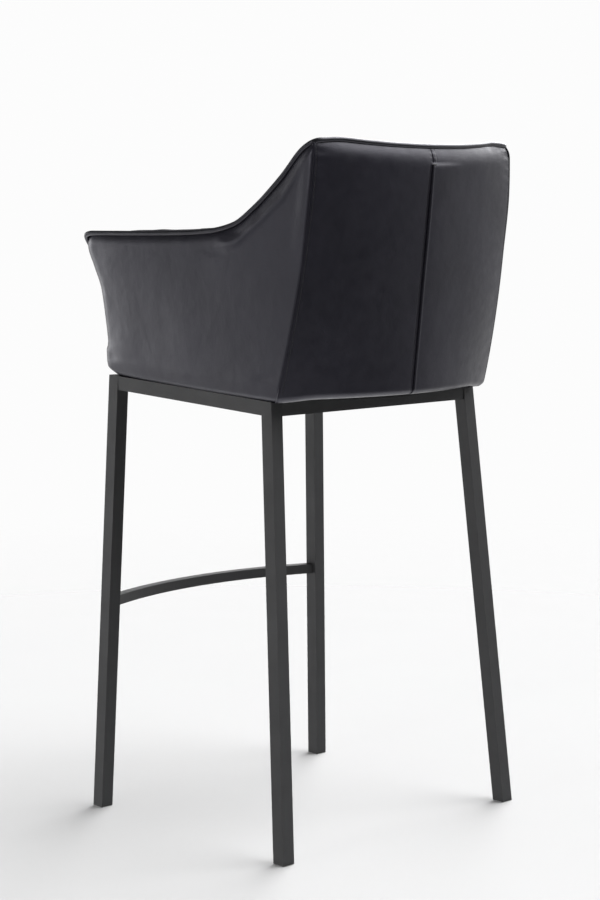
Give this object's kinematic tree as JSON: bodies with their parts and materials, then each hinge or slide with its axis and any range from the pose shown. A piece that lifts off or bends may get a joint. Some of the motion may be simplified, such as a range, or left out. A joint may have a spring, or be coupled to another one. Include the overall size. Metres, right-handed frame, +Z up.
{
  "type": "bar stool",
  "caption": "Bar stool: splayed square-tube steel frame, bowed front footrest, upholstered bucket shell with low arms, piped rim and loose-look cushion.",
  "frame": {"origin": "on the floor, under the middle of the object's outline", "axes": "+Z up, the stool faces -Y, its left side is +X"},
  "size_m": [0.5166, 0.5446, 1.0679],
  "materials": {
    "frame_powder_coat": "matt fine-texture black powder coat",
    "glide_plastic": "moulded black plastic",
    "zinc_hardware": "zinc plated",
    "dust_fleece": "black non-woven fleece",
    "plywood": "raw birch plywood",
    "upholstery_leather": "smooth satin black coated leather with fine grain",
    "piping_leather": "satin black welt of the same leather"
  },
  "bodies": {
    "root": {"leg_front_left": "frame_powder_coat", "leg_front_right": "frame_powder_coat", "leg_rear_left": "frame_powder_coat", "leg_rear_right": "frame_powder_coat", "glide_front_left": "glide_plastic", "glide_front_right": "glide_plastic", "glide_rear_left": "glide_plastic", "glide_rear_right": "glide_plastic", "rail_left": "frame_powder_coat", "rail_right": "frame_powder_coat", "rail_front": "frame_powder_coat", "rail_rear": "frame_powder_coat", "footrest_bar": "frame_powder_coat", "seat_tab_front_left": "frame_powder_coat", "bolt_front_left": "zinc_hardware", "washer_front_left": "zinc_hardware", "tee_nut_front_left": "zinc_hardware", "seat_tab_front_right": "frame_powder_coat", "bolt_front_right": "zinc_hardware", "washer_front_right": "zinc_hardware", "tee_nut_front_right": "zinc_hardware", "seat_tab_rear_left": "frame_powder_coat", "bolt_rear_left": "zinc_hardware", "washer_rear_left": "zinc_hardware", "tee_nut_rear_left": "zinc_hardware", "seat_tab_rear_right": "frame_powder_coat", "bolt_rear_right": "zinc_hardware", "washer_rear_right": "zinc_hardware", "tee_nut_rear_right": "zinc_hardware", "dust_cover": "dust_fleece", "seat_board": "plywood", "front_apron": "upholstery_leather", "seat_cushion": "upholstery_leather", "arm_board_left": "plywood", "arm_pad_left": "upholstery_leather", "arm_front_left": "upholstery_leather", "cover_side_left": "upholstery_leather", "cover_back_left": "upholstery_leather", "arm_board_right": "plywood", "arm_pad_right": "upholstery_leather", "arm_front_right": "upholstery_leather", "cover_side_right": "upholstery_leather", "cover_back_right": "upholstery_leather", "back_board": "plywood", "back_pad": "upholstery_leather", "zip_placket": "upholstery_leather", "piping": "piping_leather"}
  },
  "joints": []
}
